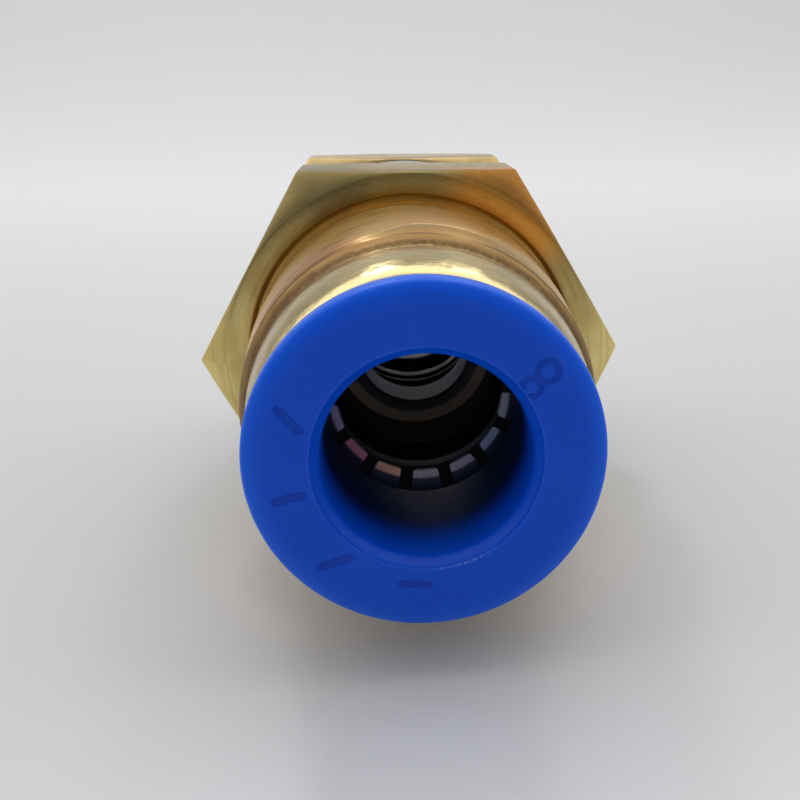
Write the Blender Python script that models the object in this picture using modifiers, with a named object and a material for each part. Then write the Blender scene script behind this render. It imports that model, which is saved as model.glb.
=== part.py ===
"""Push to connect bulkhead union for 8 mm tube: two push-in ends, hexagon flange, M16x1 lock nut.

Units are metres, +Z is up. The bore axis lies along Y and the origin is on it, half way between the
two release ring faces. The front end points to -Y, the threaded rear end to +Y. The hexagon has a flat
at the top and one at the bottom.

Every piece of an end is drawn as (radius, depth) in millimetres, where depth is counted inwards from
the face of that end's release ring, and is turned about the bore axis.
"""

import math

import bmesh
import bpy
from mathutils import Matrix

MM = 0.001

# ---- driving dimensions, in millimetres -------------------------------------------------------------
TUBE_D = 8.0              # outside diameter of the tube that each end takes
TOTAL_L = 39.0            # release ring face to release ring face
FLANGE_FRONT = 16.0       # front ring face to the front of the hexagon
FLANGE_L = 6.2            # thickness of the hexagon
ACROSS_FLATS = 19.0       # hexagon flange and lock nut
CHAMFER_FACE_R = 9.2      # radius of the flat left inside a hexagon's 30 degree chamfer

THREAD_R = 8.0            # M16x1 crest
THREAD_ROOT_R = 7.385     # M16x1 root of the outside thread
THREAD_PITCH = 1.0
THREAD_CREST = THREAD_PITCH / 8
THREAD_FROM = 22.9        # depth where the groove's middle starts, inside the relief
THREAD_TURNS = 13
THREAD_AXIAL_PLAY = 0.06
THREAD_RADIAL_PLAY = 0.08
NUT_MINOR_R = 7.46

BARREL_R = 8.0            # front barrel next to the flange
SHOULDER_R = 7.75         # front barrel behind the nose
NOSE_R = 7.35             # front nose, slimmer than the barrel
NOSE_END = 6.0            # depth where the nose steps up to the barrel
NOSE_FACE = 2.5           # depth of the body's end face, under the release ring
NOSE_ROUND = 0.75         # radius of the rolled front nose
REAR_ROUND = 0.6          # radius of the rolled rear nose, inside the thread's root
UNDERCUT_FACE_R = 8.25    # how far the undercuts reach up the flange's faces
UNDERCUT_DEPTH = 0.15

LIP_R = 6.0               # mouth of the body, rolled in over the guide collar
LIP_END = 3.1
CARTRIDGE_R = 6.5         # bore that holds the collar, grip ring and back ring
CARTRIDGE_END = 11.7
SEAL_SEAT_R = 5.95
SEAL_SEAT_END = 14.4
TUBE_GUIDE_R = TUBE_D / 2 + 0.12
TUBE_STOP = 18.0          # depth at which the tube end lands
THROUGH_R = 3.0           # passage between the two tube stops

RING_R = 7.0              # release ring flange
RING_BORE_R = TUBE_D / 2 + 0.1
RING_FLANGE_L = 1.25
RING_EDGE = 0.35          # rounding of the ring's outer edge
SLEEVE_R = 5.0
SLEEVE_END = 7.6
BEAD_R = 5.5              # bead that keeps the release ring in the collar

GRIP_TEETH = 14
GRIP_SHEET = 0.3
GRIP_RIM = 7.6            # depth of the grip ring's flat rim
GRIP_ROOT_R = 5.6
GRIP_TIP_R = 3.75
GRIP_TIP = 9.4
GRIP_SLOT_W = 0.52
GRIP_PHASE = math.radians(10.73)

GAP = 0.1                 # play left between pieces that touch
WASHER_R = 9.4
WASHER_BORE_R = 8.25
WASHER_L = 0.8
WASHER_NOTCHES = 12
NUT_L = 4.5
PANEL_GAP = 2.2           # room left for a panel between the flange and the washer

BODY_STEPS = 32           # facets around the body, its thread and the nut
RING_STEPS = 40
INNER_STEPS = 32

SECTION_OVERSHOOT = 0.6   # how far a cutter reaches past what it cuts

WASHER_FROM = FLANGE_FRONT + FLANGE_L + PANEL_GAP
NUT_FROM = WASHER_FROM + WASHER_L + GAP


# ---- scene and materials ----------------------------------------------------------------------------
def clear_scene():
    for obj in list(bpy.data.objects):
        bpy.data.objects.remove(obj, do_unlink=True)


def new_collection(name):
    collection = bpy.data.collections.new(name)
    bpy.context.scene.collection.children.link(collection)
    return collection


def material(name, color, roughness, metallic):
    mat = bpy.data.materials.new(name)
    mat.use_nodes = True
    shader = mat.node_tree.nodes["Principled BSDF"]
    shader.inputs["Base Color"].default_value = (*color, 1.0)
    shader.inputs["Roughness"].default_value = roughness
    shader.inputs["Metallic"].default_value = metallic
    return mat


def place(obj, end):
    """Turn local +Z (depth) onto the bore axis. The empty of each end stands on its ring's face."""
    obj.parent = ENDS[end]
    obj.matrix_parent_inverse = Matrix.Identity(4)


def end_empty(name, y, turn_x):
    empty = bpy.data.objects.new(name, None)
    empty.empty_display_size = 5 * MM
    empty.location = (0.0, y * MM, 0.0)
    empty.rotation_euler = (turn_x, 0.0, 0.0)
    PARTS.objects.link(empty)
    return empty


# ---- shape helpers ----------------------------------------------------------------------------------
def clockwise(points):
    """A Screw profile at +X has to run down its outer side for faces that point outwards."""
    area = sum(
        r0 * z1 - r1 * z0 for (r0, z0), (r1, z1) in zip(points, points[1:] + points[:1])
    )
    return points if area < 0 else points[::-1]


def arc(centre, radius, start_deg, end_deg, steps):
    """Points of an arc in the (radius, depth) plane, its ends included."""
    cr, cz = centre
    angles = [math.radians(start_deg + (end_deg - start_deg) * i / steps) for i in range(steps + 1)]
    return [(cr + radius * math.cos(a), cz + radius * math.sin(a)) for a in angles]


def link(name, mesh, mat, cutter):
    obj = bpy.data.objects.new(name, mesh)
    (CUTTERS if cutter else PARTS).objects.link(obj)
    if mat:
        mesh.materials.append(mat)
    if cutter:
        obj.hide_render = True
        obj.display_type = "WIRE"
    return obj


def turned(name, points, end, mat=None, steps=INNER_STEPS, cutter=False):
    """A (radius, depth) outline turned about the bore axis with a Screw modifier.

    An outline that starts and ends on the axis is left open there, so it turns into a solid.
    """
    outline = clockwise(points)
    if points[0][0] == 0.0:
        start = outline.index(min(outline, key=lambda point: (point[0], point[1])))
        outline = outline[start:] + outline[:start]
        if outline[1][0] == 0.0:
            outline = outline[1:] + outline[:1]
    count = len(outline)
    edges = [(i, i + 1) for i in range(count - 1)]
    if outline[0][0] > 0.0:
        edges.append((count - 1, 0))
    mesh = bpy.data.meshes.new(name)
    mesh.from_pydata([(r * MM, 0.0, z * MM) for r, z in outline], edges, [])
    obj = link(name, mesh, mat, cutter)
    screw = obj.modifiers.new("turn", "SCREW")
    screw.axis = "Z"
    screw.steps = steps
    screw.render_steps = steps
    screw.use_merge_vertices = True
    screw.merge_threshold = 0.000001
    screw.use_smooth_shade = True
    place(obj, end)
    return obj


def prism(name, sides, radius, z_from, z_to, end, turn=0.0, mat=None, cutter=False):
    """An upright prism or cylinder from a bmesh cone with two equal radii."""
    bm = bmesh.new()
    bmesh.ops.create_cone(
        bm,
        cap_ends=True,
        segments=sides,
        radius1=radius * MM,
        radius2=radius * MM,
        depth=(z_to - z_from) * MM,
        matrix=Matrix.Translation((0, 0, (z_from + z_to) / 2 * MM)) @ Matrix.Rotation(turn, 4, "Z"),
    )
    mesh = bpy.data.meshes.new(name)
    bm.to_mesh(mesh)
    bm.free()
    obj = link(name, mesh, mat, cutter)
    place(obj, end)
    return obj


def boolean(obj, operation, other):
    mod = obj.modifiers.new(operation.lower(), "BOOLEAN")
    mod.operation = operation
    mod.solver = "EXACT"
    mod.object = other


def weld(obj):
    """Join the doubled corners that a Boolean leaves where two sets of facets line up."""
    mod = obj.modifiers.new("weld", "WELD")
    mod.merge_threshold = 0.000003


def helix_cutter(name, section, z_from, turns, steps, end):
    """A right-handed helical bar: a four-sided (radius, height) section swept up the bore axis."""
    bm = bmesh.new()
    corners = [bm.verts.new((r * MM, 0.0, (z_from + z) * MM)) for r, z in section]
    face = bm.faces.new(corners)
    bmesh.ops.spin(
        bm,
        geom=[face, *face.edges, *face.verts],
        cent=(0, 0, 0),
        axis=(0, 0, 1),
        dvec=(0, 0, THREAD_PITCH / steps * MM),
        angle=2 * math.pi * turns,
        steps=steps * turns,
    )
    bmesh.ops.recalc_face_normals(bm, faces=bm.faces)
    mesh = bpy.data.meshes.new(name)
    bm.to_mesh(mesh)
    bm.free()
    obj = link(name, mesh, None, True)
    place(obj, end)
    return obj


def flank(radius):
    """Half the axial width of the thread's ridge at a radius, for 60 degree flanks."""
    return THREAD_CREST / 2 + (THREAD_R - radius) * math.tan(math.radians(30))


def chamfered_hexagon(name, z_from, z_to, end, mat=None, cutter=False, recess=0.0):
    """A hexagonal prism whose corners are cut by a 30 degree cone at both faces.

    A recess sinks the middle of both faces, out to the reach of the undercuts.
    """
    corner_r = ACROSS_FLATS / math.sqrt(3)
    reach = corner_r + SECTION_OVERSHOOT
    drop = (reach - CHAMFER_FACE_R) * math.tan(math.radians(30))
    obj = prism(
        name,
        6,
        corner_r,
        z_from - SECTION_OVERSHOOT,
        z_to + SECTION_OVERSHOOT,
        end,
        turn=math.pi / 6,
        mat=mat,
        cutter=cutter,
    )
    front = [(0.0, z_from)]
    rear = [(0.0, z_to)]
    if recess:
        front = [(0.0, z_from + recess), (UNDERCUT_FACE_R, z_from + recess), (UNDERCUT_FACE_R, z_from)]
        rear = [(UNDERCUT_FACE_R, z_to), (UNDERCUT_FACE_R, z_to - recess), (0.0, z_to - recess)]
    cone_outline = [
        *front,
        (CHAMFER_FACE_R, z_from),
        (reach, z_from + drop),
        (reach, z_to - drop),
        (CHAMFER_FACE_R, z_to),
        *rear,
    ]
    cones = turned(name + "_chamfer", cone_outline, end, steps=BODY_STEPS, cutter=True)
    boolean(obj, "INTERSECT", cones)
    return obj


# ---- the brass body ---------------------------------------------------------------------------------
def body_outline():
    """Outside of the barrel from the front nose to the rear nose, closed on the bore axis."""
    flange_end = FLANGE_FRONT + FLANGE_L
    rear_nose = TOTAL_L - NOSE_FACE
    nose_round_r = NOSE_R - NOSE_ROUND
    rear_land_r = THREAD_ROOT_R - 0.05
    undercut_r = BARREL_R - 0.2
    relief_r = THREAD_ROOT_R - 0.135
    thread_end = rear_nose - 1.4
    front = arc((nose_round_r, NOSE_FACE + NOSE_ROUND), NOSE_ROUND, -90, 0, 4)
    rear = arc((rear_land_r - REAR_ROUND, rear_nose - REAR_ROUND), REAR_ROUND, 0, 90, 3)
    return [
        (0.0, NOSE_FACE),
        *front,
        (NOSE_R, NOSE_END),
        (SHOULDER_R, NOSE_END + SHOULDER_R - NOSE_R),
        (SHOULDER_R + 0.1, 8.2),
        (BARREL_R, 8.35),
        (BARREL_R, FLANGE_FRONT - 0.6),
        (undercut_r, FLANGE_FRONT - 0.4),
        (undercut_r, FLANGE_FRONT + 1.0),
        (relief_r, flange_end - 1.0),
        (relief_r, flange_end + 0.8),
        (BARREL_R, flange_end + 0.8 + BARREL_R - relief_r),
        (BARREL_R, thread_end),
        (rear_land_r, thread_end + BARREL_R - rear_land_r),
        *rear,
        (0.0, rear_nose),
    ]


def end_bores():
    """Half of the stepped bore, from outside one mouth to that end's tube stop."""
    lead = 0.45
    stop_bevel = 0.2
    return [
        (0.0, NOSE_FACE - SECTION_OVERSHOOT),
        (LIP_R, NOSE_FACE - SECTION_OVERSHOOT),
        (LIP_R, LIP_END),
        (CARTRIDGE_R, LIP_END),
        (CARTRIDGE_R, CARTRIDGE_END),
        (SEAL_SEAT_R, CARTRIDGE_END),
        (SEAL_SEAT_R, SEAL_SEAT_END),
        (TUBE_GUIDE_R + lead, SEAL_SEAT_END),
        (TUBE_GUIDE_R, SEAL_SEAT_END + lead),
        (TUBE_GUIDE_R, TUBE_STOP),
        (THROUGH_R + stop_bevel, TUBE_STOP),
        (THROUGH_R, TUBE_STOP + stop_bevel),
    ]


def build_body(mat):
    body = turned("body", body_outline(), "front", mat, BODY_STEPS)
    flange_end = FLANGE_FRONT + FLANGE_L
    flange = chamfered_hexagon(
        "flange_hexagon", FLANGE_FRONT, flange_end, "front", cutter=True, recess=UNDERCUT_DEPTH
    )
    boolean(body, "UNION", flange)
    front_half = end_bores()
    rear_half = [(r, TOTAL_L - z) for r, z in reversed(front_half)]
    bore = turned("stepped_bore", front_half + rear_half, "front", steps=BODY_STEPS, cutter=True)
    boolean(body, "DIFFERENCE", bore)
    outer_r = THREAD_R + THREAD_RADIAL_PLAY
    groove_root = THREAD_PITCH / 2 - flank(THREAD_ROOT_R)
    groove_top = THREAD_PITCH / 2 - flank(outer_r)
    groove = helix_cutter(
        "thread_groove",
        [
            (THREAD_ROOT_R, -groove_root),
            (outer_r, -groove_top),
            (outer_r, groove_top),
            (THREAD_ROOT_R, groove_root),
        ],
        THREAD_FROM,
        THREAD_TURNS,
        BODY_STEPS,
        "front",
    )
    boolean(body, "DIFFERENCE", groove)
    weld(body)
    return body


# ---- the pieces of one push-in end ------------------------------------------------------------------
def build_release_ring(end, mat):
    """Flange to press, sleeve for the tube, snap bead, and the nose that opens the grip ring."""
    mouth = 0.35
    foot_r = 4.6
    bead_from = 4.75
    outline = [
        (RING_BORE_R + mouth, 0.0),
        *arc((RING_R - RING_EDGE, RING_EDGE), RING_EDGE, -90, 0, 4),
        (RING_R, RING_FLANGE_L - 0.15),
        (RING_R - 0.15, RING_FLANGE_L),
        (SLEEVE_R, RING_FLANGE_L),
        (SLEEVE_R, bead_from),
        (BEAD_R, bead_from),
        (BEAD_R, bead_from + 0.5),
        (SLEEVE_R, bead_from + 1.1),
        (SLEEVE_R, SLEEVE_END - 0.6),
        (foot_r, SLEEVE_END),
        (RING_BORE_R + 0.1, SLEEVE_END),
        (RING_BORE_R, SLEEVE_END - 0.2),
        *arc((RING_BORE_R + mouth, mouth), mouth, 180, 255, 3),
    ]
    return turned(end + "_release_ring", outline, end, mat, RING_STEPS)


def build_guide_collar(end, mat):
    """Collar held by the rolled lip: its small bore stops the release ring's bead."""
    lip_bore_r = SLEEVE_R + 0.15
    wide_bore_r = BEAD_R + 0.25
    lip_back = 4.6
    outline = [
        (lip_bore_r, NOSE_FACE + GAP),
        (LIP_R - GAP, NOSE_FACE + GAP),
        (LIP_R - GAP, LIP_END + GAP),
        (CARTRIDGE_R - GAP, LIP_END + GAP),
        (CARTRIDGE_R - GAP, GRIP_RIM - GAP),
        (wide_bore_r, GRIP_RIM - GAP),
        (wide_bore_r, lip_back),
        (lip_bore_r, lip_back),
    ]
    return turned(end + "_guide_collar", outline, end, mat)


def build_grip_ring(end, mat):
    """Stainless ring with claws that lean inwards, cut apart by straight slots through the axis."""
    run = (GRIP_ROOT_R - GRIP_TIP_R, GRIP_TIP - GRIP_RIM)
    length = math.hypot(*run)
    back_r = GRIP_SHEET * run[1] / length
    back_z = GRIP_SHEET * run[0] / length
    rim_back = GRIP_RIM + GRIP_SHEET
    bend_r = GRIP_ROOT_R + back_r - (GRIP_SHEET - back_z) * run[0] / run[1]
    outline = [
        (GRIP_TIP_R, GRIP_TIP),
        (GRIP_ROOT_R, GRIP_RIM),
        (CARTRIDGE_R - GAP, GRIP_RIM),
        (CARTRIDGE_R - GAP, rim_back),
        (bend_r, rim_back),
        (GRIP_TIP_R + back_r, GRIP_TIP + back_z),
    ]
    ring = turned(end + "_grip_ring", outline, end, mat, GRIP_TEETH * 3)
    bm = bmesh.new()
    slot_reach = 2 * (GRIP_ROOT_R - 0.25)
    pitch = 2 * math.pi / GRIP_TEETH
    for index in range(GRIP_TEETH // 2):
        turn = Matrix.Rotation(GRIP_PHASE + (index + 0.5) * pitch, 4, "Z")
        size = Matrix.Diagonal((slot_reach * MM, GRIP_SLOT_W * MM, 4.0 * MM, 1.0))
        middle = Matrix.Translation((0, 0, (GRIP_RIM + GRIP_TIP) / 2 * MM))
        bmesh.ops.create_cube(bm, size=1.0, matrix=middle @ turn @ size)
    mesh = bpy.data.meshes.new(end + "_grip_slots")
    bm.to_mesh(mesh)
    bm.free()
    slots = link(end + "_grip_slots", mesh, None, True)
    place(slots, end)
    cut = ring.modifiers.new("slots", "BOOLEAN")
    cut.operation = "DIFFERENCE"
    cut.solver = "EXACT"
    cut.use_self = True
    cut.object = slots
    return ring


def build_back_ring(end, mat):
    """Spacer behind the grip ring: its cone leaves the claws room to open."""
    land_r = RING_BORE_R + 0.05
    cone_from = GRIP_RIM + GRIP_SHEET + GAP
    outline = [
        (CARTRIDGE_R - GAP, cone_from),
        (CARTRIDGE_R - GAP, CARTRIDGE_END - GAP),
        (land_r, CARTRIDGE_END - GAP),
        (land_r, 10.7),
        (land_r + 0.2, 10.45),
        (6.0, cone_from),
    ]
    return turned(end + "_back_ring", outline, end, mat)


def build_tube_seal(end, mat):
    """Lip seal: a U-shaped section, open towards the pressure, whose inner lip grips the tube."""
    front = CARTRIDGE_END + 0.2
    outline = [
        (SEAL_SEAT_R - GAP, front),
        (SEAL_SEAT_R - GAP, SEAL_SEAT_END - 0.25),
        (5.35, SEAL_SEAT_END - 0.25),
        (4.95, front + 1.1),
        (4.75, front + 1.1),
        (4.25, SEAL_SEAT_END - 0.3),
        (3.98, SEAL_SEAT_END - 0.35),
        (TUBE_D / 2 - 0.15, SEAL_SEAT_END - 0.7),
        (4.05, front + 1.0),
        (4.35, front + 0.35),
        (4.65, front),
    ]
    return turned(end + "_tube_seal", outline, end, mat)


# ---- washer and nut on the rear thread --------------------------------------------------------------
def build_lock_washer(mat):
    """Flat washer with an inner edge notched into locking teeth."""
    z_to = WASHER_FROM + WASHER_L
    outline = [
        (WASHER_BORE_R, WASHER_FROM),
        (WASHER_R, WASHER_FROM),
        (WASHER_R, z_to),
        (WASHER_BORE_R, z_to),
    ]
    washer = turned("lock_washer", outline, "front", mat, WASHER_NOTCHES * 4)
    notch_reach = 2 * (WASHER_BORE_R + 0.5)
    notch_w = 1.3
    bm = bmesh.new()
    for index in range(WASHER_NOTCHES // 2):
        turn = Matrix.Rotation(2 * math.pi * (index + 0.5) / WASHER_NOTCHES, 4, "Z")
        size = Matrix.Diagonal((notch_reach * MM, notch_w * MM, 3 * WASHER_L * MM, 1.0))
        middle = Matrix.Translation((0, 0, (WASHER_FROM + z_to) / 2 * MM))
        bmesh.ops.create_cube(bm, size=1.0, matrix=middle @ turn @ size)
    mesh = bpy.data.meshes.new("washer_notches")
    bm.to_mesh(mesh)
    bm.free()
    notches = link("washer_notches", mesh, None, True)
    place(notches, "front")
    cut = washer.modifiers.new("notches", "BOOLEAN")
    cut.operation = "DIFFERENCE"
    cut.solver = "EXACT"
    cut.use_self = True
    cut.object = notches
    return washer


def build_lock_nut(mat):
    """Thin hexagon nut whose inside thread meets the body's with a small play all round."""
    z_to = NUT_FROM + NUT_L
    nut = chamfered_hexagon("lock_nut", NUT_FROM, z_to, "front", mat)
    sink_r = THREAD_R + 0.25
    sink = sink_r - NUT_MINOR_R
    hole = turned(
        "nut_hole",
        [
            (0.0, NUT_FROM - SECTION_OVERSHOOT),
            (sink_r, NUT_FROM - SECTION_OVERSHOOT),
            (sink_r, NUT_FROM),
            (NUT_MINOR_R, NUT_FROM + sink),
            (NUT_MINOR_R, z_to - sink),
            (sink_r, z_to),
            (sink_r, z_to + SECTION_OVERSHOOT),
            (0.0, z_to + SECTION_OVERSHOOT),
        ],
        "front",
        steps=BODY_STEPS,
        cutter=True,
    )
    boolean(nut, "DIFFERENCE", hole)
    inner_r = NUT_MINOR_R - THREAD_RADIAL_PLAY
    outer_r = THREAD_R + THREAD_RADIAL_PLAY
    base = flank(inner_r) + THREAD_AXIAL_PLAY
    top = flank(outer_r) + THREAD_AXIAL_PLAY
    # the ridge that the groove leaves lies half a pitch from the groove, so the cutter starts there
    first_turn = math.floor((NUT_FROM - THREAD_FROM) / THREAD_PITCH) - 1
    groove = helix_cutter(
        "nut_thread_groove",
        [(inner_r, -base), (outer_r, -top), (outer_r, top), (inner_r, base)],
        THREAD_FROM + (first_turn + 0.5) * THREAD_PITCH,
        math.ceil(NUT_L / THREAD_PITCH) + 3,
        BODY_STEPS,
        "front",
    )
    boolean(nut, "DIFFERENCE", groove)
    weld(nut)
    return nut


# ---- assembly ---------------------------------------------------------------------------------------
clear_scene()
PARTS = new_collection("push_to_connect_fitting")
CUTTERS = new_collection("cutters")
ENDS = {
    "front": end_empty("front_end", -TOTAL_L / 2, -math.pi / 2),
    "rear": end_empty("rear_end", TOTAL_L / 2, math.pi / 2),
}

BRASS = material("brass", (0.55, 0.39, 0.13), 0.28, 1.0)
COLLAR_BRASS = material("collar_brass", (0.58, 0.42, 0.17), 0.35, 1.0)
NUT_BRASS = material("nut_brass", (0.57, 0.41, 0.15), 0.3, 1.0)
BLUE_ACETAL = material("blue_acetal", (0.01, 0.07, 0.45), 0.32, 0.0)
STAINLESS = material("stainless", (0.55, 0.55, 0.57), 0.25, 1.0)
GREY_ACETAL = material("grey_acetal", (0.09, 0.1, 0.1), 0.5, 0.0)
RUBBER = material("nitrile_rubber", (0.012, 0.012, 0.013), 0.55, 0.0)
WASHER_STEEL = material("washer_steel", (0.5, 0.5, 0.5), 0.35, 1.0)

build_body(BRASS)
build_lock_washer(WASHER_STEEL)
build_lock_nut(NUT_BRASS)
for end_name in ENDS:
    build_release_ring(end_name, BLUE_ACETAL)
    build_guide_collar(end_name, COLLAR_BRASS)
    build_grip_ring(end_name, STAINLESS)
    build_back_ring(end_name, GREY_ACETAL)
    build_tube_seal(end_name, RUBBER)
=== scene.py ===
"""Looks of the push to connect fitting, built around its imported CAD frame.

Shapes are worked out in millimetres. Depth is counted inwards from the face of an end's release
ring, the bore axis is Y, and the front end points to -Y. Angles run round the axis from +X
towards +Z.
"""

import math

import bmesh
import bpy
import numpy as np
from mathutils import Matrix


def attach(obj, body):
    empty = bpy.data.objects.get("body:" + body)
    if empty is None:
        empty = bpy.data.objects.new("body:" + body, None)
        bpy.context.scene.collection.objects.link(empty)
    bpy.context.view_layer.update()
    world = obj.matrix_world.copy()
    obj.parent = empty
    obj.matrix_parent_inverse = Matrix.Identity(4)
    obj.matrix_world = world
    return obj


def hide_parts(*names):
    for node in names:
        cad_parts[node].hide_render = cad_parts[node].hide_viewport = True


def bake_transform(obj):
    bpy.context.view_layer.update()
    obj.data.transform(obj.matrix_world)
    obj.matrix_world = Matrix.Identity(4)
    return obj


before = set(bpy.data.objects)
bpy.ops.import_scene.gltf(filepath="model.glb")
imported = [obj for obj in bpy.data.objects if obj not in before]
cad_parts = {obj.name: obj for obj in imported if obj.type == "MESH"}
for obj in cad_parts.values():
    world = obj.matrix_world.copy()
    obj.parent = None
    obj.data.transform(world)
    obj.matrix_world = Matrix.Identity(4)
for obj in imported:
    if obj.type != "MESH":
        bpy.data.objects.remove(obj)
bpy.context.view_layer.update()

MM = 0.001
HALF = 19.5
ENDS = {"front": 1, "rear": -1}
BODY_OF_RING = {"front": "front_ring", "rear": "rear_ring"}

# hexagon flange, thread and nut, as in the CAD
FLATS_R = 9.5
FACE_R = 9.4
FLANGE = (16.0, 22.2)
NUT = (25.3, 29.8)
WASHER = (24.4, 25.2)
CORNER_ROUND = 0.14
THREAD_R = 8.0
THREAD_ROOT = 7.385
THREAD_PHASE = 23.4
THREAD_FROM = 23.0
THREAD_TO = 35.765
THREAD_FADE = 35.1
CREST_HALF = 0.0625
NUT_ROOT = 8.08
NUT_MINOR = 7.46
NUT_CREST_HALF = 0.076
NUT_SINK_R = 8.25
TAN30 = math.tan(math.radians(30))

# body: outside, then the steps of its bore from the mouth inwards
BARREL_R = 8.0
UNDERCUT_R = 7.8
NOSE_R = 7.35
NOSE_FACE = 2.5
REAR_FACE = 36.5
MOUTH_R = 6.0
CARTRIDGE_R = 6.5
SEAL_SEAT_R = 5.95
TUBE_GUIDE_R = 4.12
PASSAGE_R = 3.0

# release ring and its engraved face
RING_R = 7.0
RING_BORE_R = 4.1
SLEEVE_R = 5.0
BEAD_R = 5.5
FACE_FROM, FACE_TO, FACE_STEP = 4.6, 6.2, 0.045
MARK_DEPTH = 0.09

WASHER_R = 9.4
WASHER_BORE_R = 8.25
NOTCH_R = 8.75

CLAWS = 14
CLAW_PHASE = math.radians(14.98)
CLAW_ROOT_R = 5.62
CLAW_ROOT_DEPTH = 7.6
CLAW_SHEET = 0.28


# ---- meshes -------------------------------------------------------------------------------------
def along(end, depth):
    """World Y, in millimetres, of a depth below that end's ring face."""
    return ENDS[end] * (depth - HALF)


def add_object(name, mesh):
    obj = bpy.data.objects.new(name, mesh)
    bpy.context.scene.collection.objects.link(obj)
    return obj


def tidy_mesh(mesh, sharp_deg):
    """Join doubled points, turn every face outwards, and shade smooth between sharp edges."""
    bm = bmesh.new()
    bm.from_mesh(mesh)
    bmesh.ops.remove_doubles(bm, verts=bm.verts, dist=0.0000002)
    bmesh.ops.recalc_face_normals(bm, faces=bm.faces)
    bm.to_mesh(mesh)
    bm.free()
    mesh.shade_smooth()
    mesh.set_sharp_from_angle(angle=math.radians(sharp_deg))


def skin(name, rows, sharp_deg=32):
    """A closed solid from rows of points that run round the axis; the last row joins the first."""
    rows = np.asarray(rows)
    index = np.arange(rows.shape[0] * rows.shape[1]).reshape(rows.shape[:2])
    below = np.roll(index, -1, axis=0)
    quads = np.stack([index, np.roll(index, -1, 1), np.roll(below, -1, 1), below], axis=-1)
    mesh = bpy.data.meshes.new(name)
    mesh.from_pydata((rows.reshape(-1, 3) * MM).tolist(), [], quads.reshape(-1, 4).tolist())
    tidy_mesh(mesh, sharp_deg)
    return add_object(name, mesh)


def ring_row(radius, depth, angles, end="front"):
    """One row of points; radius and depth are numbers, or arrays with a value for each angle."""
    r = np.broadcast_to(radius, angles.shape)
    y = np.broadcast_to(along(end, depth), angles.shape)
    return np.stack([r * np.cos(angles), y, r * np.sin(angles)], axis=-1)


def soften(points, steps=4):
    """Round the corners of a closed outline of (radius, depth, rounding)."""
    rounded = []
    for i, (r, d, rounding) in enumerate(points):
        corner = np.array((r, d))
        before = np.array(points[i - 1][:2]) - corner
        after = np.array(points[(i + 1) % len(points)][:2]) - corner
        cut = min(rounding, 0.45 * np.linalg.norm(before), 0.45 * np.linalg.norm(after))
        if cut <= 0:
            rounded.append((r, d))
            continue
        a = corner + before / np.linalg.norm(before) * cut
        b = corner + after / np.linalg.norm(after) * cut
        for t in np.linspace(0, 1, steps + 1):
            rounded.append(tuple((1 - t) ** 2 * a + 2 * t * (1 - t) * corner + t * t * b))
    return rounded


def even_angles(count):
    return np.linspace(0, 2 * math.pi, count, endpoint=False)


def lathe(name, outline, end, count=160, sharp_deg=32):
    angles = even_angles(count)
    return skin(name, [ring_row(r, d, angles, end) for r, d in soften(outline)], sharp_deg)


def smooth_noise(angles, seed, waves=6):
    """A gentle repeatable wobble round the axis, between about -1 and 1."""
    rng = np.random.default_rng(seed)
    total = np.zeros_like(angles)
    for k in range(1, waves + 1):
        total += rng.normal() / k * np.cos(k * angles + rng.uniform(0, 2 * math.pi))
    return total / 1.5


# ---- hexagons and thread ------------------------------------------------------------------------
def hex_angles(count, corner_round):
    """Evenly spread angles with extra ones where the hexagon's corners are rounded."""
    centre = (FLATS_R - corner_round) / math.cos(math.pi / 6)
    reach = math.atan(0.5 * corner_round / (centre + math.cos(math.pi / 6) * corner_round))
    extra = [k * math.pi / 3 + s * reach for k in range(6) for s in (-1, -0.55, 0.55, 1)]
    angles = np.concatenate([even_angles(count), np.array(extra) % (2 * math.pi)])
    return np.sort(np.unique(angles.round(9)))


def hex_radius(angles, corner_round):
    """Distance to the hexagon's outline, whose flats face up and down."""
    from_flat = (angles % (math.pi / 3)) - math.pi / 6
    flat = FLATS_R / np.cos(from_flat)
    off_corner = math.pi / 6 - np.abs(from_flat)
    centre = (FLATS_R - corner_round) / math.cos(math.pi / 6)
    reach = math.atan(0.5 * corner_round / (centre + math.cos(math.pi / 6) * corner_round))
    inside = np.maximum(corner_round**2 - (centre * np.sin(off_corner)) ** 2, 0)
    arc = centre * np.cos(off_corner) + np.sqrt(inside)
    return np.where(off_corner <= reach + 1e-9, arc, flat)


def hex_rows(front, rear, angles, edge=0.05):
    """Rows from the front chamfer circle over the flats to the rear chamfer circle."""
    outer = hex_radius(angles, CORNER_ROUND)
    drop = (outer - FACE_R) * TAN30
    near = outer - edge
    rows = [
        ring_row(FACE_R - edge, front, angles),
        ring_row(FACE_R, front + 0.012, angles),
        ring_row(FACE_R + edge, front + edge * TAN30, angles),
        ring_row(near, front + drop - edge * TAN30, angles),
        ring_row(outer - 0.008, front + drop + 0.01, angles),
        ring_row(outer, front + drop + edge, angles),
    ]
    back = [
        ring_row(outer, rear - drop - edge, angles),
        ring_row(outer - 0.008, rear - drop - 0.01, angles),
        ring_row(near, rear - drop + edge * TAN30, angles),
        ring_row(FACE_R + edge, rear - edge * TAN30, angles),
        ring_row(FACE_R, rear - 0.012, angles),
        ring_row(FACE_R - edge, rear, angles),
    ]
    return rows + back


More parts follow.
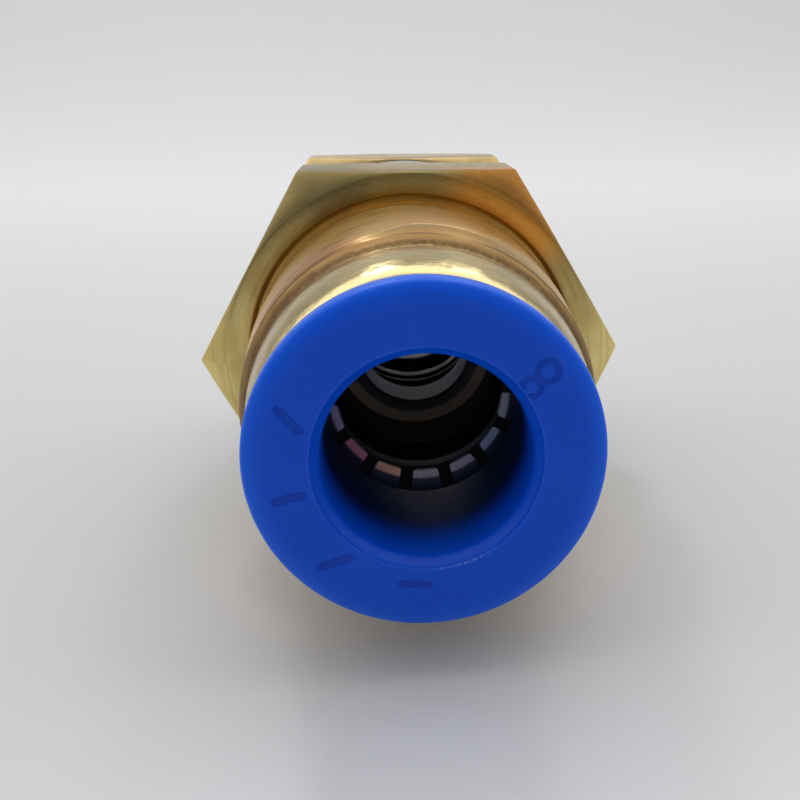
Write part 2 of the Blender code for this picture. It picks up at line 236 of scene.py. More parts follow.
def thread_rows(first, last, angles, outside):
    """Rows that follow the helix between two depths.

    Phases within a pitch mark crest, flanks and root, and rows beyond the ends fold onto them.
    """
    phases = (-0.5, -0.44, -0.40, -0.24, -0.085, -0.045, 0.045, 0.085, 0.24, 0.40, 0.44)
    lead = THREAD_PHASE - angles / (2 * math.pi)
    rows = []
    for turn in range(math.floor(first - THREAD_PHASE) - 1, math.ceil(last - THREAD_PHASE) + 3):
        for phase in phases:
            depth = np.clip(lead + turn + phase, first, last)
            rows.append((outside(depth, lead), depth))
    return [ring_row(r, d, angles) for r, d in rows]


def helix_offset(depth, lead):
    """Distance along the axis to the middle of the nearest ridge."""
    return np.abs((depth - lead + 0.5) % 1.0 - 0.5)


def body_thread(depth, lead):
    off = helix_offset(depth, lead)
    ridge = THREAD_R - np.maximum(off - CREST_HALF, 0) / TAN30
    start = THREAD_ROOT - 0.135 + (depth - THREAD_FROM)
    finish = THREAD_R - (depth - THREAD_FADE)
    return np.minimum.reduce([np.clip(ridge, THREAD_ROOT, THREAD_R), start, finish])


def nut_thread(depth, lead):
    off = helix_offset(depth, lead)
    groove = NUT_ROOT - np.maximum(off - NUT_CREST_HALF, 0) / TAN30
    front_sink = NUT_SINK_R - (depth - NUT[0])
    rear_sink = NUT_SINK_R - (NUT[1] - depth)
    return np.maximum.reduce([np.clip(groove, NUT_MINOR, NUT_ROOT), front_sink, rear_sink])


# ---- materials ----------------------------------------------------------------------------------
class Shader:
    """A material's nodes, with short calls for the few kinds used here. Lengths are millimetres."""

    def __init__(self, name):
        self.material = bpy.data.materials.new(name)
        self.material.use_nodes = True
        self.tree = self.material.node_tree
        self.surface = self.tree.nodes["Principled BSDF"]
        coordinates = self.tree.nodes.new("ShaderNodeTexCoord").outputs["Object"]
        self.place = self.vector("SCALE", coordinates, scale=1 / MM)
        split = self.node("SeparateXYZ", {"Vector": self.place})
        self.x, self.y, self.z = split.outputs
        self.radius = self.math("SQRT", self.math("ADD", self.square(self.x), self.square(self.z)))
        self.angle = self.math("ARCTAN2", self.z, self.x)

    def node(self, kind, inputs=None, **settings):
        node = self.tree.nodes.new("ShaderNode" + kind)
        for key, value in settings.items():
            setattr(node, key, value)
        for key, value in (inputs or {}).items():
            self.feed(node.inputs[key], value)
        return node

    def feed(self, socket, value):
        if isinstance(value, bpy.types.NodeSocket):
            self.tree.links.new(value, socket)
        else:
            socket.default_value = value

    def math(self, operation, a, b=0.0, c=0.0):
        return self.node("Math", {0: a, 1: b, 2: c}, operation=operation).outputs[0]

    def vector(self, operation, a, b=(0, 0, 0), scale=1.0):
        inputs = {"Vector": a, 1: b, "Scale": scale}
        return self.node("VectorMath", inputs, operation=operation).outputs["Vector"]

    def square(self, value):
        return self.math("MULTIPLY", value, value)

    def combine(self, x, y, z):
        return self.node("CombineXYZ", {"X": x, "Y": y, "Z": z}).outputs["Vector"]

    def noise(self, where, scale, detail=3.0, rough=0.55, warp=0.0):
        inputs = {"Vector": where, "Scale": scale, "Detail": detail, "Roughness": rough}
        node = self.node("TexNoise", inputs)
        node.inputs["Distortion"].default_value = warp
        return node.outputs["Fac"]

    def ramp(self, value, low, high, out_low=0.0, out_high=1.0):
        """A smooth step from out_low, at low, to out_high, at high."""
        inputs = {"Value": value, "From Min": low, "From Max": high}
        node = self.node("MapRange", inputs, interpolation_type="SMOOTHSTEP")
        node.inputs["To Min"].default_value = out_low
        node.inputs["To Max"].default_value = out_high
        return node.outputs["Result"]

    def band(self, value, centre, half, soft):
        """1 within half of centre, fading to 0 over soft."""
        off = self.math("ABSOLUTE", self.math("SUBTRACT", value, centre))
        return self.ramp(off, half, half + soft, 1.0, 0.0)

    def mix(self, factor, a, b):
        node = self.node("Mix", data_type="RGBA")
        for key, value in (("Factor", factor), ("A", a), ("B", b)):
            socket = [s for s in node.inputs if s.name == key and s.enabled][0]
            if isinstance(value, tuple):
                value = (*value, 1.0)
            self.feed(socket, value)
        return [s for s in node.outputs if s.enabled][0]

    def bump(self, height, distance, strength=1.0, before=None):
        inputs = {"Height": height, "Distance": distance * MM, "Strength": strength}
        node = self.node("Bump", inputs)
        if before is not None:
            self.feed(node.inputs["Normal"], before)
        return node.outputs["Normal"]

    def finish(self, color, roughness, normal=None, **extra):
        if isinstance(color, tuple):
            color = (*color, 1.0)
        self.feed(self.surface.inputs["Base Color"], color)
        self.feed(self.surface.inputs["Roughness"], roughness)
        if normal is not None:
            self.feed(self.surface.inputs["Normal"], normal)
        for key, value in extra.items():
            self.feed(self.surface.inputs[key.replace("_", " ")], value)
        return self.material


def turning_marks(s, fine=14.0):
    """Fine tool lines: they follow the radius on faces and the length on barrels."""
    lines = s.combine(s.radius, s.math("MULTIPLY", s.y, 1.0), s.math("MULTIPLY", s.angle, 0.05))
    return s.noise(lines, fine, detail=5.0, rough=0.7)


def brass_body():
    s = Shader("turned_brass")
    depth = s.math("ADD", s.y, HALF)
    marks = turning_marks(s)
    streaks = s.noise(s.combine(s.radius, s.y, s.math("MULTIPLY", s.angle, 0.6)), 3.0, 4.0)
    patches = s.noise(s.place, 0.2, 3.0, 0.6)
    tarnish = s.ramp(patches, 0.42, 0.62)
    grime = s.ramp(streaks, 0.45, 0.75)
    nose = s.ramp(depth, 5.9, 6.1, 1.0, 0.0)
    hexagon = s.ramp(s.radius, 8.1, 8.6)
    color = s.mix(tarnish, (0.76, 0.48, 0.14), (0.60, 0.34, 0.10))
    olive = s.mix(tarnish, (0.76, 0.63, 0.26), (0.67, 0.52, 0.19))
    # painted shade: the hexagon's upper half is painted browner and its chamfer there duller; a
    # dark patch is painted left of the top
    above = s.ramp(s.z, 1.0, 7.0)
    olive = s.mix(s.math("MULTIPLY", above, 0.75), olive, (0.42, 0.29, 0.10))
    top_left_dark_patch = s.band(s.angle, math.radians(113), 0.06, 0.22)
    olive = s.mix(s.math("MULTIPLY", top_left_dark_patch, 0.6), olive, (0.18, 0.15, 0.07))
    chamfer = s.math("MULTIPLY", s.ramp(s.radius, 9.3, 9.6), s.ramp(depth, 17.3, 16.9))
    # painted shade: the chamfer is painted duller on the hexagon's upper half
    dull_tone_and_shade = s.math("MULTIPLY", chamfer, s.math("MULTIPLY", above, 0.85))
    olive = s.mix(dull_tone_and_shade, olive, (0.27, 0.215, 0.085))
    color = s.mix(hexagon, color, olive)
    color = s.mix(s.math("MULTIPLY", grime, 0.4), color, (0.34, 0.22, 0.07))
    before_step = s.node("Attribute", attribute_name="before_step").outputs["Fac"]
    color = s.mix(s.math("MULTIPLY", before_step, 0.45), color, (0.42, 0.26, 0.08))
    # painted highlight: a pale line along the crest of the step, broken by the streaks
    crest = s.math("MULTIPLY", s.band(before_step, 0.4, 0.22, 0.2), s.ramp(streaks, 0.3, 0.6))
    color = s.mix(s.math("MULTIPLY", crest, 0.7), color, (1.0, 0.84, 0.52))
    # painted shade: the nose is painted darker down its sides and underneath than on top
    flank = s.math("MULTIPLY", s.ramp(s.z, 6.4, 3.0), 0.6)
    color = s.mix(nose, color, s.mix(flank, (0.70, 0.57, 0.29), (0.40, 0.29, 0.13)))
    # reddened stretch behind the nose, on one side
    side = s.ramp(s.angle, math.radians(100), math.radians(118))
    blush = s.math("MULTIPLY", s.band(depth, 7.2, 0.7, 1.2), side)
    blush = s.math("MULTIPLY", blush, s.ramp(s.noise(s.place, 0.5, 3.0), 0.3, 0.6))
    color = s.mix(s.math("MULTIPLY", blush, 0.8), color, (0.50, 0.19, 0.07))
    # painted reflection: an orange patch on the hexagon's upper right corner, darker on the chamfer
    corner = s.math("MULTIPLY", s.band(s.angle, math.radians(56), 0.2, 0.3), hexagon)
    corner = s.math("MULTIPLY", corner, s.ramp(depth, 18.5, 17.5))
    painted_corner_reflection = s.mix(chamfer, (1.0, 0.42, 0.06), (0.42, 0.18, 0.035))
    color = s.mix(s.math("MULTIPLY", corner, 0.85), color, painted_corner_reflection)
    # painted shade: a dark band over the shoulder cone and its outer edge
    shoulder_shade = s.band(depth, 6.35, 0.2, 0.25)
    color = s.mix(s.math("MULTIPLY", shoulder_shade, 0.9), color, (0.22, 0.13, 0.05))
    # edge where the nose meets the shoulder: rough, dark and burred
    seam_wobble = s.math("MULTIPLY", s.noise(s.place, 0.9, 2.0), 0.3)
    seam = s.band(s.math("ADD", depth, seam_wobble), 6.15, 0.1, 0.25)
    speckle = s.noise(s.place, 5.5, 4.0, 0.7)
    seam_dirt = s.math("MULTIPLY", seam, s.ramp(speckle, 0.3, 0.6))
    color = s.mix(s.math("MULTIPLY", seam_dirt, 0.85), color, (0.13, 0.08, 0.035))
    # painted shade: the undercut groove in front of the flange is painted dark
    groove = s.math("MULTIPLY", s.band(depth, 15.75, 0.2, 0.3), s.math("SUBTRACT", 1.0, hexagon))
    color = s.mix(s.math("MULTIPLY", groove, 0.8), color, (0.14, 0.08, 0.03))
    # painted shade: the bore is painted far darker than brass; the tube stop is painted as a pale,
    # less metallic face, a painted pool of light, with a grey rim round the passage
    bore = s.ramp(s.radius, 6.2, 6.5, 1.0, 0.0)
    color = s.mix(bore, color, (0.16, 0.14, 0.125))
    stop = s.math("MULTIPLY", s.band(s.math("ABSOLUTE", s.y), 1.5, 0.15, 0.1), bore)
    stop_painted_light = s.ramp(s.radius, 3.5, 3.65)
    color = s.mix(stop, color, s.mix(stop_painted_light, (0.20, 0.20, 0.23), (1.0, 0.82, 0.60)))
    # painted shade: the throat of the passage beyond the stop is painted near black
    throat_shade = s.math("MULTIPLY", s.ramp(s.math("ABSOLUTE", s.y), 1.36, 1.28), bore)
    color = s.mix(throat_shade, color, (0.07, 0.07, 0.08))
    turned = s.ramp(marks, 0.3, 0.75, 0.22, 0.38)
    roughness = s.math("ADD", turned, s.math("MULTIPLY", tarnish, 0.08))
    roughness = s.math("ADD", roughness, s.math("MULTIPLY", seam, 0.25))
    roughness = s.math("SUBTRACT", roughness, s.math("MULTIPLY", nose, 0.07))
    roughness = s.math("MAXIMUM", roughness, s.math("MULTIPLY", bore, 0.5))
    relief = s.bump(marks, 0.006)
    relief = s.bump(s.math("MULTIPLY", seam, speckle), 0.06, 1.0, relief)
    relief = s.bump(s.noise(s.place, 1.1, 2.0), 0.02, 1.0, relief)
    relief = s.bump(s.math("MULTIPLY", nose, s.noise(s.place, 0.55, 3.0)), 0.09, 1.0, relief)
    metal = s.math("SUBTRACT", 1.0, s.math("MULTIPLY", stop, 0.85))
    return s.finish(color, roughness, relief, Metallic=metal)


def plain_brass(name, tint, fine):
    s = Shader(name)
    marks = turning_marks(s, fine)
    patches = s.noise(s.place, 0.3, 3.0, 0.6)
    dull_tone_and_shade = tuple(0.72 * c for c in tint)
    color = s.mix(s.ramp(patches, 0.42, 0.7), tint, dull_tone_and_shade)
    roughness = s.ramp(marks, 0.3, 0.75, 0.18, 0.36)
    return s.finish(color, roughness, s.bump(marks, 0.006), Metallic=1.0)


def blue_acetal():
    s = Shader("blue_acetal")
    cloud = s.noise(s.place, 0.35, 2.0)
    grain = s.noise(s.place, 11.0, 3.0, 0.6)
    flaw = s.noise(s.place, 2.3, 5.0, 0.65, 0.4)
    color = s.mix(cloud, (0.0, 0.08, 0.66), (0.0, 0.095, 0.72))
    # painted light: the blue is painted brighter toward the rim, where light glows through the edge
    edge = s.ramp(s.radius, 5.9, 6.9)
    color = s.mix(s.math("MULTIPLY", edge, 0.5), color, (0.01, 0.15, 0.80))
    marked = s.node("Attribute", attribute_name="marked").outputs["Fac"]
    color = s.mix(s.math("MULTIPLY", marked, 0.25), color, (0.0, 0.03, 0.34))
    # painted, not lit: the sleeve is darkened inside the fitting, where little light reaches
    depth = s.math("SUBTRACT", HALF, s.math("ABSOLUTE", s.y))
    color = s.mix(s.math("MULTIPLY", s.ramp(depth, 1.6, 4.2), 0.92), color, (0.0, 0.01, 0.05))
    # pale bruises where the moulding has been knocked, mostly on its edges
    rim = s.math("MAXIMUM", s.ramp(s.radius, 6.6, 6.95), s.band(s.radius, 4.5, 0.08, 0.15))
    specks = s.noise(s.place, 8.0, 4.0, 0.7)
    bruise = s.math("MULTIPLY", rim, s.ramp(specks, 0.66, 0.70))
    lip = s.math("MULTIPLY", s.band(s.radius, 4.49, 0.01, 0.05), s.ramp(depth, 0.15, 0.05))
    rubbed = s.math("MULTIPLY", s.band(s.angle, -1.35, 0.15, 0.3), s.ramp(cloud, 0.3, 0.6))
    lip = s.math("MULTIPLY", lip, s.math("ADD", 0.12, rubbed))
    lip = s.math("MULTIPLY", lip, s.ramp(specks, 0.4, 0.6))
    bruise = s.math("MAXIMUM", bruise, lip)
    color = s.mix(s.math("MULTIPLY", bruise, 0.45), color, (0.35, 0.45, 0.80))
    roughness = s.math("ADD", s.ramp(grain, 0.3, 0.7, 0.3, 0.4), s.math("MULTIPLY", bruise, 0.2))
    relief = s.bump(grain, 0.004)
    relief = s.bump(flaw, 0.012, 0.6, relief)
    return s.finish(
        color,
        roughness,
        relief,
        Subsurface_Weight=0.5,
        Subsurface_Radius=(0.2, 0.55, 1.0),
        Subsurface_Scale=1.6 * MM,
        Specular_IOR_Level=0.22,
    )


def claw_steel():
    s = Shader("claw_steel")
    tint = s.node("Attribute", attribute_name="tint").outputs["Color"]
    grain = s.noise(s.place, 6.0, 4.0, 0.6)
    # painted shade: only the part of a claw that shows in the mouth keeps its full tint; towards
    # the root and at the tip the claw is painted dark
    lit = s.band(s.radius, 4.0, 0.1, 0.14)
    color = s.mix(lit, (0.06, 0.065, 0.09), tint)
    return s.finish(color, s.ramp(grain, 0.3, 0.7, 0.3, 0.45), s.bump(grain, 0.0015), Metallic=0.9)


def plain_metal(name, tint, low, high, scale):
    s = Shader(name)
    grain = s.noise(s.place, scale, 4.0, 0.6)
    patches = s.noise(s.place, 0.5, 3.0)
    color = s.mix(s.ramp(patches, 0.4, 0.7), tint, tuple(0.8 * c for c in tint))
    return s.finish(color, s.ramp(grain, 0.3, 0.7, low, high), s.bump(grain, 0.004), Metallic=1.0)


def moulded(name, tint, low, high):
    s = Shader(name)
    grain = s.noise(s.place, 9.0, 3.0, 0.6)
    color = s.mix(s.noise(s.place, 0.8, 2.0), tint, tuple(1.35 * c for c in tint))
    return s.finish(color, s.ramp(grain, 0.3, 0.7, low, high), s.bump(grain, 0.005))


# ---- pieces -------------------------------------------------------------------------------------
def dress(obj, material, slot, body, *nodes):
    obj.data.materials.append(material)
    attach(obj, body)
    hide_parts(*nodes)
    return obj


def step_depth(angles):
    """Depth of the shallow step round the barrel: it wanders, and runs forward over one stretch."""
    degrees = np.degrees(angles)
    rise = 1 / (1 + np.exp((98 - degrees) / 3.0))
    fall = 1 / (1 + np.exp((degrees - 134) / 6.0))
    return 9.15 + 0.25 * smooth_noise(angles, 4) - 2.35 * rise * fall


def body_rows(angles):
    """The brass body's whole skin: nose, barrel, flange, thread, rear nose and stepped bore."""
    bore = [
        (MOUTH_R, 36.4), (MOUTH_R, 35.9), (CARTRIDGE_R, 35.9), (CARTRIDGE_R, 27.3),
        (SEAL_SEAT_R, 27.3), (SEAL_SEAT_R, 24.6), (4.57, 24.6), (TUBE_GUIDE_R, 24.15),
        (TUBE_GUIDE_R, 21.0), (3.2, 21.0), (PASSAGE_R, 20.8), (PASSAGE_R, 18.2), (3.2, 18.0),
        (TUBE_GUIDE_R, 18.0), (TUBE_GUIDE_R, 14.85), (4.57, 14.4), (SEAL_SEAT_R, 14.4),
        (SEAL_SEAT_R, 11.7), (CARTRIDGE_R, 11.7), (CARTRIDGE_R, 3.1), (MOUTH_R, 3.1),
        (MOUTH_R, 2.6),
    ]
    rows = [ring_row(6.1, NOSE_FACE, angles), ring_row(6.5, NOSE_FACE, angles)]
    for t in np.linspace(0, math.pi / 2, 18):
        rows.append(ring_row(6.6 + 0.75 * math.sin(t), 5.6 - 3.1 * math.cos(t), angles))
    step = step_depth(angles)
    burr = 0.03 * smooth_noise(angles, 7, 60) * (1 + 2 * np.exp(-(((angles - 1.73) / 0.12) ** 2)))
    rows += [
        ring_row(NOSE_R, 5.75, angles),
        ring_row(NOSE_R + 0.7 * burr, 5.88, angles),
        ring_row(7.34, 5.96 + burr, angles),
        ring_row(7.37, 6.04, angles),
        ring_row(7.70 + 0.5 * burr, 6.38, angles),
        ring_row(7.76, 6.48, angles),
        ring_row(7.84, step - 0.1, angles),
        ring_row(7.87, step + 0.05, angles),
        ring_row(7.91, step + 0.2, angles),
        ring_row(7.955, step + 0.5, angles),
        ring_row(BARREL_R, step + 1.2, angles),
        ring_row(BARREL_R, 15.25, angles),
        ring_row(7.97, 15.36, angles),
        ring_row(UNDERCUT_R, 15.5, angles),
        ring_row(UNDERCUT_R, 16.1, angles),
        ring_row(7.85, 16.15, angles),
        ring_row(8.22, 16.15, angles),
        ring_row(8.27, 16.1, angles),
        ring_row(8.4, 16.02, angles),
        ring_row(8.5, FLANGE[0], angles),
    ]
    rows += hex_rows(*FLANGE, angles)
    rows += [
        ring_row(8.3, FLANGE[1], angles),
        ring_row(8.25, 22.15, angles),
        ring_row(8.2, 22.05, angles),
        ring_row(7.3, 22.05, angles),
        ring_row(7.25, 22.1, angles),
    ]
    rows += thread_rows(THREAD_FROM, THREAD_TO, angles, body_thread)
    for t in np.linspace(0, math.pi / 2, 6):
        rows.append(ring_row(6.735 + 0.6 * math.cos(t), 35.9 + 0.6 * math.sin(t), angles))
    rows += [ring_row(6.1, REAR_FACE, angles)]
    rows += [ring_row(r, d, angles) for r, d in bore]
    return rows


def make_body(material):
    angles = hex_angles(300, CORNER_ROUND)
    body = skin("brass_body", body_rows(angles), 30)
    points = np.empty(len(body.data.vertices) * 3)
    body.data.vertices.foreach_get("co", points)
    x, y, z = points.reshape(-1, 3).T / MM
    before = (step_depth(np.arctan2(z, x) % (2 * math.pi)) - (y + HALF)) / 0.12
    attribute = body.data.attributes.new("before_step", "FLOAT", "POINT")
    attribute.data.foreach_set("value", np.clip(before, 0, 1).astype(np.float32))
    return dress(body, material, "brass", "fitting", "body")


def make_nut(material):
    angles = hex_angles(240, CORNER_ROUND)
    rows = hex_rows(*NUT, angles)
    rows += [ring_row(8.35, NUT[1], angles), ring_row(8.27, NUT[1] - 0.015, angles)]
    rows += thread_rows(*NUT, angles, nut_thread)[::-1]
    rows += [ring_row(8.27, NUT[0] + 0.015, angles), ring_row(8.35, NUT[0], angles)]
    nut = skin("lock_nut_hexagon", rows, 30)
    return dress(nut, material, "nut_brass", "nut", "lock_nut")


def make_washer(material):
    """Flat ring whose inner edge is notched into twelve teeth."""
    teeth = 12
    half = math.asin(0.65 / 8.5)
    edges = [
        (k + 0.5) * 2 * math.pi / teeth + s * half * f
        for k in range(teeth)
        for s, f in ((-1, 1.06), (-1, 0.94), (1, 0.94), (1, 1.06))
    ]
    angles = np.sort(np.unique(np.concatenate([even_angles(144), np.array(edges)]).round(9)))
    off = np.abs((angles * teeth / (2 * math.pi)) % 1.0 - 0.5) * 2 * math.pi / teeth
    inner = np.where(off < half, NOTCH_R, WASHER_BORE_R)
    edge = 0.06
    rows = [
        ring_row(inner + edge, WASHER[0], angles),
        ring_row(WASHER_R - edge, WASHER[0], angles),
        ring_row(WASHER_R, WASHER[0] + edge, angles),
        ring_row(WASHER_R, WASHER[1] - edge, angles),
        ring_row(WASHER_R - edge, WASHER[1], angles),
        ring_row(inner + edge, WASHER[1], angles),
        ring_row(inner, WASHER[1] - edge, angles),
        ring_row(inner, WASHER[0] + edge, angles),
    ]
    washer = skin("notched_washer", rows, 40)
    return dress(washer, material, "washer_steel", "washer", "lock_washer")


def capsule(x, z, start, stop, half):
    """Distance from points to the outline of a round-ended bar; negative inside."""
    ax, az = start
    bx, bz = stop
    dx, dz = bx - ax, bz - az
    t = np.clip(((x - ax) * dx + (z - az) * dz) / (dx * dx + dz * dz), 0, 1)
    return np.hypot(x - ax - t * dx, z - az - t * dz) - half


def polar(radius, degrees):
    return radius * math.cos(math.radians(degrees)), radius * math.sin(math.radians(degrees))


def engraving(x, z):
    """Depth of the marks sunk in a ring's face: the tube size, and plain bars with no meaning."""
    stroke = 0.11
    inner_loop = np.abs(np.hypot(x - 3.95, z - 2.77) - 0.37) - stroke
    outer_loop = np.abs(np.hypot(x - 4.60, z - 3.37) - 0.41) - stroke
    distance = np.minimum(inner_loop, outer_loop)
    bars = [
        (polar(5.9, 157), polar(4.95, 163)),
        (polar(5.9, 193), polar(4.95, 193)),
        (polar(5.9, 224), polar(4.95, 230)),
        (polar(5.2, 257), polar(5.2, 268)),
    ]
    for start, stop in bars:
        distance = np.minimum(distance, capsule(x, z, start, stop, 0.17))
    return MARK_DEPTH * np.clip(0.5 - distance / 0.06, 0, 1)


def ring_angles():
    """Angles round a release ring, closer together where its face is engraved."""
    spans = ((25, 46), (153, 168), (188, 198), (220, 234), (252, 273))
    fine = [np.arange(a, b, 0.3) for a, b in spans]
    return np.radians(np.unique(np.concatenate([np.arange(0, 360, 1.5), *fine]).round(3)))


def make_release_ring(end, material):
    """Flange with an engraved face, sleeve, snap bead, and a mouth that leads the tube in."""
    angles = ring_angles()
    sleeve = soften([
        (RING_R, 1.25, 0.14), (SLEEVE_R, 1.25, 0.06), (SLEEVE_R, 4.75, 0.03),
        (BEAD_R, 4.75, 0.08), (BEAD_R, 5.25, 0.12), (SLEEVE_R, 5.85, 0.1), (SLEEVE_R, 7.0, 0.15),
        (4.6, 7.6, 0.06), (4.2, 7.6, 0.08), (RING_BORE_R, 7.35, 0.1), (RING_BORE_R, 0.5, 0.16),
        (4.42, 0.12, 0.08), (4.47, 0.0, 0.03), (6.55, 0.0, 0.3), (RING_R, 0.2, 0.2),
    ])
    rows = [ring_row(r, d, angles, end) for r, d in sleeve]
    mouth = max(i for i, (r, d) in enumerate(sleeve) if r < FACE_FROM)
    face = []
    for radius in np.arange(FACE_FROM, FACE_TO, FACE_STEP):
        x, z = radius * np.cos(angles), radius * np.sin(angles)
        face.append(ring_row(radius, engraving(x, z), angles, end))
    rows = rows[: mouth + 1] + face + rows[mouth + 1 :]
    ring = skin(end + "_blue_ring", rows, 40)
    points = np.empty(len(ring.data.vertices) * 3)
    ring.data.vertices.foreach_get("co", points)
    x, y, z = points.reshape(-1, 3).T / MM
    marked = np.where(np.abs(y) > HALF - 0.12, engraving(x, z) / MARK_DEPTH, 0)
    attribute = ring.data.attributes.new("marked", "FLOAT", "POINT")
    attribute.data.foreach_set("value", marked.astype(np.float32))
    return dress(ring, material, "blue_acetal", BODY_OF_RING[end], end + "_release_ring")


def claw_mesh(name, end, tints):
    """Fourteen separate claws: slightly bowed strips of sheet, with rounded tips."""
    vertices, faces, colors = [], [], []
    lengths, widths = 10, 8
    phase = CLAW_PHASE if end == "front" else -CLAW_PHASE
    for claw in range(CLAWS):
        base = len(vertices)
        centre = phase + claw * 2 * math.pi / CLAWS
        for side in (0, 1):
            for i in range(lengths + 1):
                for j in range(widths + 1):
                    across = 2 * j / widths - 1
                    tip_cut = 0.06 * abs(across) ** 6
                    t = i / lengths * (1 - tip_cut)
                    radius = CLAW_ROOT_R - 1.87 * t + 0.05 * math.sin(math.pi * t)
                    depth = CLAW_ROOT_DEPTH + 1.8 * t + 0.30 * math.sin(math.pi * t)
                    radius += side * CLAW_SHEET * 0.69
                    depth += side * CLAW_SHEET * 0.72
                    half = math.pi / CLAWS - math.asin(0.3 / radius)
                    half -= side * 0.004
                    a = centre + across * half
                    y = along(end, depth)
                    vertices.append((radius * math.cos(a) * MM, y * MM, radius * math.sin(a) * MM))
                    colors.append(tints[claw % len(tints)])
        columns = widths + 1
        layer = (lengths + 1) * columns
        for side in (0, 1):
            for i in range(lengths):
                for j in range(widths):
                    a = base + side * layer + i * columns + j
                    faces.append((a, a + 1, a + 1 + columns, a + columns))
        rim = [i * columns for i in range(lengths)]
        rim += [lengths * columns + j for j in range(widths)]
        rim += [i * columns + widths for i in range(lengths, 0, -1)]
        rim += list(range(widths, 0, -1))
        for k, a in enumerate(rim):
            b = rim[(k + 1) % len(rim)]
            faces.append((base + a, base + b, base + b + layer, base + a + layer))
    mesh = bpy.data.meshes.new(name)
    mesh.from_pydata(vertices, [], faces)
    attribute = mesh.color_attributes.new("tint", "FLOAT_COLOR", "POINT")
    attribute.data.foreach_set("color", np.array(colors, dtype=np.float32).ravel())
    tidy_mesh(mesh, 40)
    return mesh


def make_grip(end, claw_material, rim_material):
    greys = (0.50, 0.49, 0.54, 1)
    lilac = (0.54, 0.46, 0.58, 1)
    maroon = (0.86, 0.33, 0.35, 1)
    copper = (1.0, 0.56, 0.38, 1)
    steel = (0.42, 0.48, 0.62, 1)
    # claw 0 is the first above +X; the seven below the axis are the ones that show
    tints = [greys, steel, greys, lilac, greys, steel, greys]
    tints += [lilac, maroon, copper, greys, lilac, steel, greys]
    claws = add_object(end + "_claws", claw_mesh(end + "_claws", end, tints))
    claws.data.materials.append(claw_material)
    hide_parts(end + "_grip_ring")
    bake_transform(claws)
    outline = [(5.66, 7.62, 0.04), (6.4, 7.6, 0.05), (6.4, 7.9, 0.05), (5.8, 7.9, 0.05)]
    rim = lathe(end + "_grip_rim", outline, end)
    rim.data.materials.append(rim_material)
    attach(rim, "fitting")


def make_inner_pieces(end, collar, grey, rubber):
    outline = [
        (5.15, 2.6, 0.12), (5.9, 2.6, 0.08), (5.9, 3.2, 0.03), (6.4, 3.2, 0.08), (6.4, 7.5, 0.08),
        (5.75, 7.5, 0.08), (5.75, 4.6, 0.05), (5.15, 4.6, 0.08),
    ]
    ring = lathe(end + "_collar", outline, end)
    dress(ring, collar, "collar_brass", "fitting", end + "_guide_collar")
    outline = [
        (6.4, 8.0, 0.04), (6.4, 11.6, 0.1), (4.15, 11.6, 0.08), (4.15, 10.7, 0.05),
        (4.35, 10.45, 0.05), (6.0, 8.0, 0.1),
    ]
    ring = lathe(end + "_spacer", outline, end)
    dress(ring, grey, "grey_acetal", "fitting", end + "_back_ring")
    outline = [
        (5.85, 11.9, 0.1), (5.85, 14.15, 0.15), (5.35, 14.15, 0.15), (4.95, 13.0, 0.1),
        (4.75, 13.0, 0.1), (4.25, 14.1, 0.08), (3.98, 14.05, 0.06), (3.85, 13.7, 0.12),
        (4.05, 12.9, 0.3), (4.35, 12.25, 0.3), (4.65, 11.9, 0.15),
    ]
    ring = lathe(end + "_lip_seal", outline, end)
    dress(ring, rubber, "nitrile_rubber", "fitting", end + "_tube_seal")


# ---- stage, light and camera --------------------------------------------------------------------
def make_stage():
    """A pale glossy sheet that sweeps up into its own backdrop."""
    floor_z = -9.5
    profile = [(-900, floor_z), (-200, floor_z), (-40, floor_z), (60, floor_z), (200, floor_z)]
    sweep = 260.0
    for t in np.linspace(0, math.pi / 2, 24):
        profile.append((260 + sweep * math.sin(t), floor_z + sweep * (1 - math.cos(t))))
    profile.append((260 + sweep, floor_z + 700))
    xs = np.linspace(-900, 900, 7)
    vertices = [(x * MM, y * MM, z * MM) for y, z in profile for x in xs]
    faces = []
    for i in range(len(profile) - 1):
        for j in range(len(xs) - 1):
            a = i * len(xs) + j
            faces.append((a, a + 1, a + 1 + len(xs), a + len(xs)))
    mesh = bpy.data.meshes.new("sweep")
    mesh.from_pydata(vertices, [], faces)
    mesh.shade_smooth()
    sheet = add_object("sweep", mesh)
    s = Shader("white_sheet")
    # painted shade: the sheet is painted darker towards the camera than further back
    color = s.mix(s.ramp(s.y, -30.0, 200.0), (0.60, 0.60, 0.605), (0.82, 0.82, 0.83))
    color = s.mix(s.math("MULTIPLY", s.noise(s.place, 0.6, 4.0), 0.06), color, (0.5, 0.5, 0.5))
    mesh.materials.append(s.finish(color, 0.32))


def area_light(name, place, target, size, power, color=(1, 1, 1)):
    data = bpy.data.lights.new(name, "AREA")
    data.shape = "RECTANGLE"
    data.size, data.size_y = size
    data.energy = power
    data.color = color
    lamp = bpy.data.objects.new(name, data)
    bpy.context.scene.collection.objects.link(lamp)
    back = np.array(place, float) - np.array(target, float)
    back /= np.linalg.norm(back)
    side = np.cross((0, 1, 0.001), back)
    side /= np.linalg.norm(side)
    up = np.cross(back, side)
    turn = Matrix(((*side,), (*up,), (*back,))).transposed()
    lamp.matrix_world = Matrix.Translation(place) @ turn.to_4x4()


def world_ramp(tree, value, low, high, out_low, out_high):
    node = tree.nodes.new("ShaderNodeMapRange")
    node.interpolation_type = "SMOOTHSTEP"
    tree.links.new(value, node.inputs["Value"])
    keys = ("From Min", "From Max", "To Min", "To Max")
    for key, number in zip(keys, (low, high, out_low, out_high)):
        node.inputs[key].default_value = number
    return node.outputs["Result"]


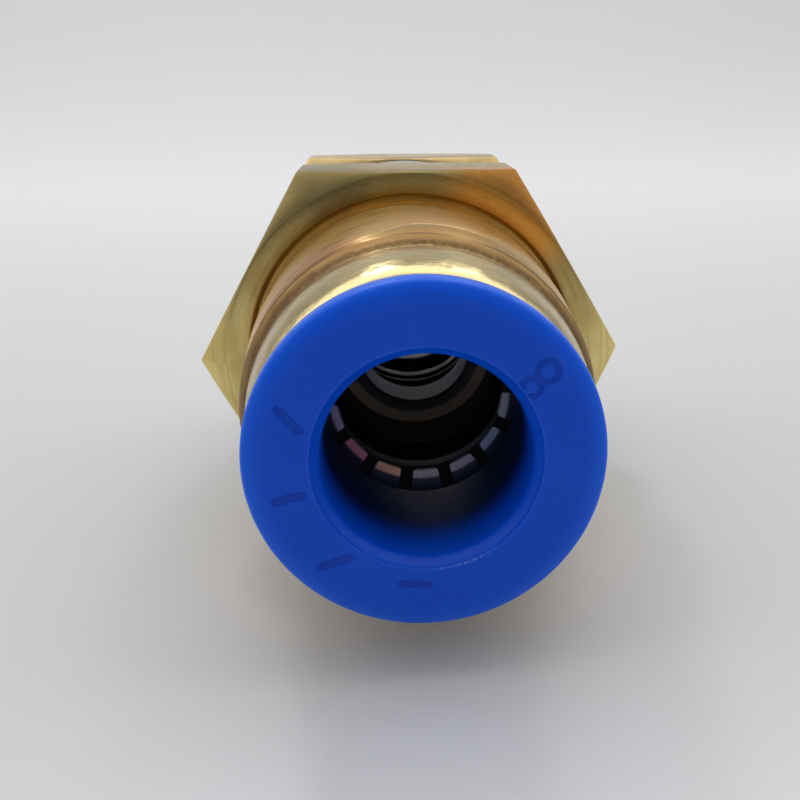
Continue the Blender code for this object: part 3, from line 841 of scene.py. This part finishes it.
def make_light():
    """A bright soft ceiling, dim behind the camera, and two lamps that put glints on the brass."""
    area_light("left_lamp", (-0.13, 0.36, 0.45), (0, 0, 0), (0.08, 0.08), 0.35, (1.0, 0.98, 0.95))
    area_light("right_lamp", (0.18, 0.36, 0.45), (0, 0, 0), (0.08, 0.08), 0.2, (1.0, 0.97, 0.92))
    world = bpy.data.worlds.new("studio")
    world.use_nodes = True
    tree = world.node_tree
    sky = tree.nodes["Background"]
    split = tree.nodes.new("ShaderNodeSeparateXYZ")
    tree.links.new(tree.nodes.new("ShaderNodeTexCoord").outputs["Generated"], split.inputs[0])
    forward = world_ramp(tree, split.outputs["Y"], -0.75, 0.1, 0.3, 1.85)
    upward = world_ramp(tree, split.outputs["Z"], 0.05, 0.8, 0.45, 0.95)
    product = tree.nodes.new("ShaderNodeMath")
    product.operation = "MULTIPLY"
    tree.links.new(forward, product.inputs[0])
    tree.links.new(upward, product.inputs[1])
    tree.links.new(product.outputs[0], sky.inputs["Strength"])
    sky.inputs["Color"].default_value = (0.98, 0.985, 1.0, 1)
    bpy.context.scene.world = world


def make_camera():
    """Close-up from a little above the axis; the frame is a part of the lens's full picture."""
    pitch, yaw, roll = math.radians(17.797), math.radians(8.632), math.radians(0.11)
    turn = Matrix.Rotation(-yaw, 4, "Z") @ Matrix.Rotation(math.pi / 2 - pitch, 4, "X")
    turn = turn @ Matrix.Rotation(roll, 4, "Z")
    data = bpy.data.cameras.new("close_up")
    data.sensor_width = 36
    data.lens = 46.69
    data.shift_x = -0.1799
    data.shift_y = 0.0193
    data.clip_start = 0.001
    data.clip_end = 10
    camera = bpy.data.objects.new("close_up", data)
    camera.matrix_world = Matrix.Translation((-0.001229, -0.056666, 0.013728)) @ turn
    bpy.context.scene.collection.objects.link(camera)
    bpy.context.scene.camera = camera


def main():
    make_camera()
    make_stage()
    make_light()
    bpy.context.scene.view_settings.view_transform = "Standard"
    make_body(brass_body())
    make_nut(plain_brass("nut_brass", (0.74, 0.54, 0.24), 12.0))
    make_washer(plain_metal("zinc_steel", (0.38, 0.37, 0.34), 0.3, 0.45, 5.0))
    blue = blue_acetal()
    claw, rim = claw_steel(), plain_metal("stamped_steel", (0.5, 0.5, 0.52), 0.25, 0.4, 4.0)
    collar = plain_brass("collar_brass", (0.7, 0.52, 0.25), 10.0)
    grey = moulded("grey_acetal", (0.05, 0.055, 0.052), 0.4, 0.55)
    rubber = moulded("nitrile_rubber", (0.012, 0.012, 0.013), 0.45, 0.65)
    for end in ENDS:
        make_release_ring(end, blue)
        make_grip(end, claw, rim)
        make_inner_pieces(end, collar, grey, rubber)


main()
